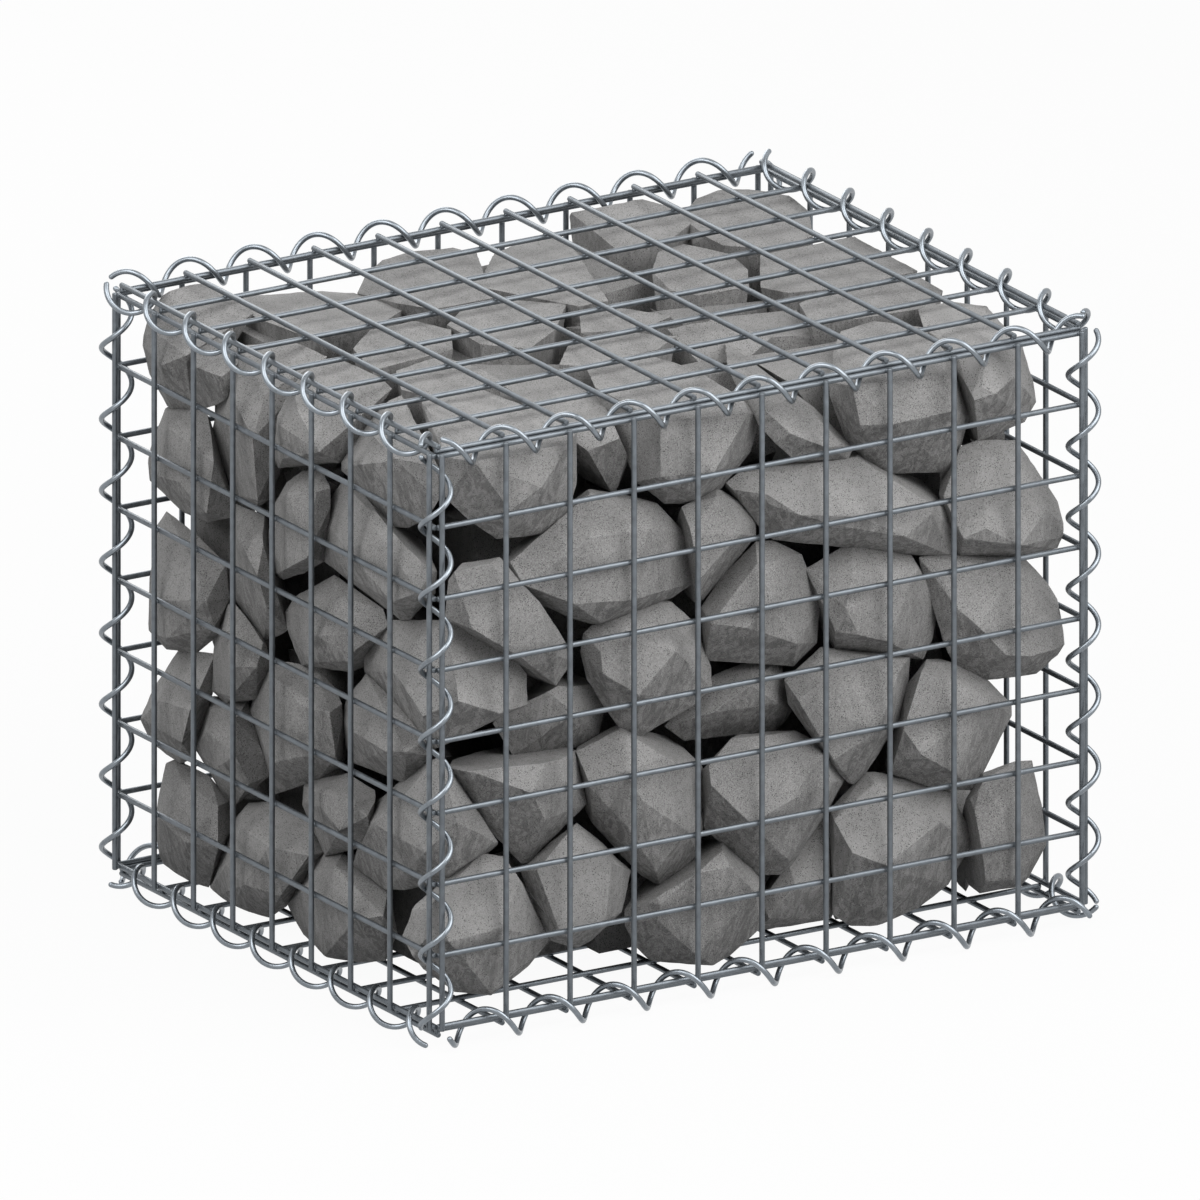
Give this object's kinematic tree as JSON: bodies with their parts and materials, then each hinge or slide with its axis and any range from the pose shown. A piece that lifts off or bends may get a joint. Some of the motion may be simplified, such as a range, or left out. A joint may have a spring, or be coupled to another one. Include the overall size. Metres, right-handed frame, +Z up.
{
  "type": "stone-filled gabion basket",
  "caption": "Box of welded steel mesh, laced along its edges by spiral binders and filled with quarried stone, for retaining walls, seats and free-standing walls.",
  "frame": {"origin": "middle of the footprint, at the height of the lowest turns of the bottom binders", "axes": "+X along the basket, +Y from the front panel to the back panel, +Z up"},
  "size_m": [0.5342, 0.436, 0.43],
  "materials": {
    "mesh_wire": "zinc-coated drawn steel wire, dull grey",
    "binder_wire": "zinc-coated drawn steel wire, a little brighter",
    "quarry_stone": "fresh split grey stone with fine dark grains, matt"
  },
  "bodies": {
    "root": {"back_panel": "mesh_wire", "back_stones_1": "quarry_stone", "back_stones_2": "quarry_stone", "back_stones_3": "quarry_stone", "back_stones_4": "quarry_stone", "base_panel": "mesh_wire", "core_stones_1": "quarry_stone", "core_stones_2": "quarry_stone", "core_stones_3": "quarry_stone", "core_stones_4": "quarry_stone", "front_panel": "mesh_wire", "front_stones_1": "quarry_stone", "front_stones_2": "quarry_stone", "front_stones_3": "quarry_stone", "front_stones_4": "quarry_stone", "front_stones_5": "quarry_stone", "left_panel": "mesh_wire", "left_stones_1": "quarry_stone", "left_stones_2": "quarry_stone", "left_stones_3": "quarry_stone", "left_stones_4": "quarry_stone", "left_stones_5": "quarry_stone", "lid_panel": "mesh_wire", "right_panel": "mesh_wire", "right_stones_1": "quarry_stone", "right_stones_2": "quarry_stone", "right_stones_3": "quarry_stone", "right_stones_4": "quarry_stone", "spiral_back_bottom": "binder_wire", "spiral_back_left": "binder_wire", "spiral_back_right": "binder_wire", "spiral_back_top": "binder_wire", "spiral_front_bottom": "binder_wire", "spiral_front_left": "binder_wire", "spiral_front_right": "binder_wire", "spiral_front_top": "binder_wire", "spiral_left_bottom": "binder_wire", "spiral_left_top": "binder_wire", "spiral_right_bottom": "binder_wire", "spiral_right_top": "binder_wire", "top_stones_back": "quarry_stone", "top_stones_front": "quarry_stone", "top_stones_middle": "quarry_stone", "top_stones_right": "quarry_stone"}
  },
  "joints": []
}
